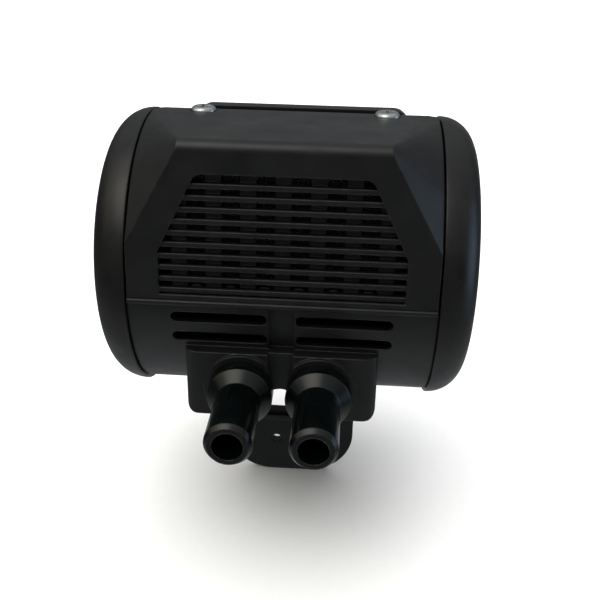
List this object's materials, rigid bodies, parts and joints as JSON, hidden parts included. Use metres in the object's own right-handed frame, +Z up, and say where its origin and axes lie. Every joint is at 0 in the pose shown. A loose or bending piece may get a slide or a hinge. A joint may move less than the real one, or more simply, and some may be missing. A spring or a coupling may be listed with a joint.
{
  "type": "pneumatic milking pulsator",
  "caption": "Pneumatic milking pulsator: barrel housing with end diaphragm chambers, slatted filter cover, two pulse-tube nipples, rear mounting flange and hanging lug.",
  "frame": {"origin": "centre of the rear flange's flat back face, on the barrel's height", "axes": "+Y out of the back face, +X along the barrel, +Z up; the nipples point along -Y"},
  "size_m": [0.0948, 0.0984, 0.1111],
  "materials": {
    "body_plastic": "moulded satin",
    "cap_plastic": "moulded satin",
    "nipple_plastic": "moulded glossy",
    "lug_plastic": "moulded matt",
    "zinc_steel": "bright zinc plate",
    "filter_foam": "open-cell foam",
    "diaphragm_rubber": "moulded matt",
    "seal_rubber": "moulded satin",
    "stainless": "drawn",
    "plate_aluminium": "turned",
    "valve_acetal": "machined",
    "slide_graphite": "lapped",
    "brass": "turned"
  },
  "bodies": {
    "housing": {"bracket_screws": "zinc_steel", "cover_screws": "zinc_steel", "filter_cover": "body_plastic", "foam_filter": "filter_foam", "hanger_lug": "lug_plastic", "hanger_screws": "zinc_steel", "inlet_seal": "seal_rubber", "left_diaphragm": "diaphragm_rubber", "left_end_cap": "cap_plastic", "left_nipple": "nipple_plastic", "left_rod_bush": "brass", "main_body": "body_plastic", "nipple_o_rings": "seal_rubber", "right_diaphragm": "diaphragm_rubber", "right_end_cap": "cap_plastic", "right_nipple": "nipple_plastic", "right_rod_bush": "brass", "rocker_bracket": "stainless", "rocker_clip": "stainless", "rocker_pin": "stainless", "rod_seals": "seal_rubber", "seat_gasket": "seal_rubber", "seat_screws": "zinc_steel", "throttle_bush": "brass", "throttle_o_ring": "seal_rubber", "valve_seat": "valve_acetal"},
    "spindle": {"spindle_rod": "stainless", "left_inner_plate": "plate_aluminium", "left_outer_plate": "plate_aluminium", "right_inner_plate": "plate_aluminium", "right_outer_plate": "plate_aluminium", "left_nut": "stainless", "right_nut": "stainless", "drive_block": "valve_acetal", "drive_pin": "stainless", "main_slide": "slide_graphite", "slide_spring": "stainless"},
    "rocker": {"rocker_lever": "stainless"},
    "pilot": {"pilot_slide": "slide_graphite"},
    "rate_knob": {"rate_screw": "brass", "throttle_needle": "brass"}
  },
  "joints": [
    {"name": "spindle_slide", "type": "slide", "parent": "housing", "child": "spindle", "axis": [1, 0, 0], "range_m": [-0.003, 0.003], "deforming": ["left_diaphragm", "right_diaphragm"]},
    {"name": "rocker_tilt", "type": "hinge", "parent": "housing", "child": "rocker", "pos_m": [0, -0.0285, 0.014], "axis": [0, 1, 0], "range_deg": [-12.2, 12.2]},
    {"name": "pilot_travel", "type": "slide", "parent": "housing", "child": "pilot", "axis": [1, 0, 0], "range_m": [-0.0044, 0.0044]},
    {"name": "rate_turn", "type": "hinge", "parent": "housing", "child": "rate_knob", "pos_m": [0.027, -0.029, -0.04], "axis": [0, 0, 1], "range_deg": [0, 720]}
  ],
  "couplings": [
    {"joint": "rocker_tilt", "follows": "spindle_slide", "rad_per_m": -70.37},
    {"joint": "pilot_travel", "follows": "spindle_slide", "ratio": 1.464}
  ]
}
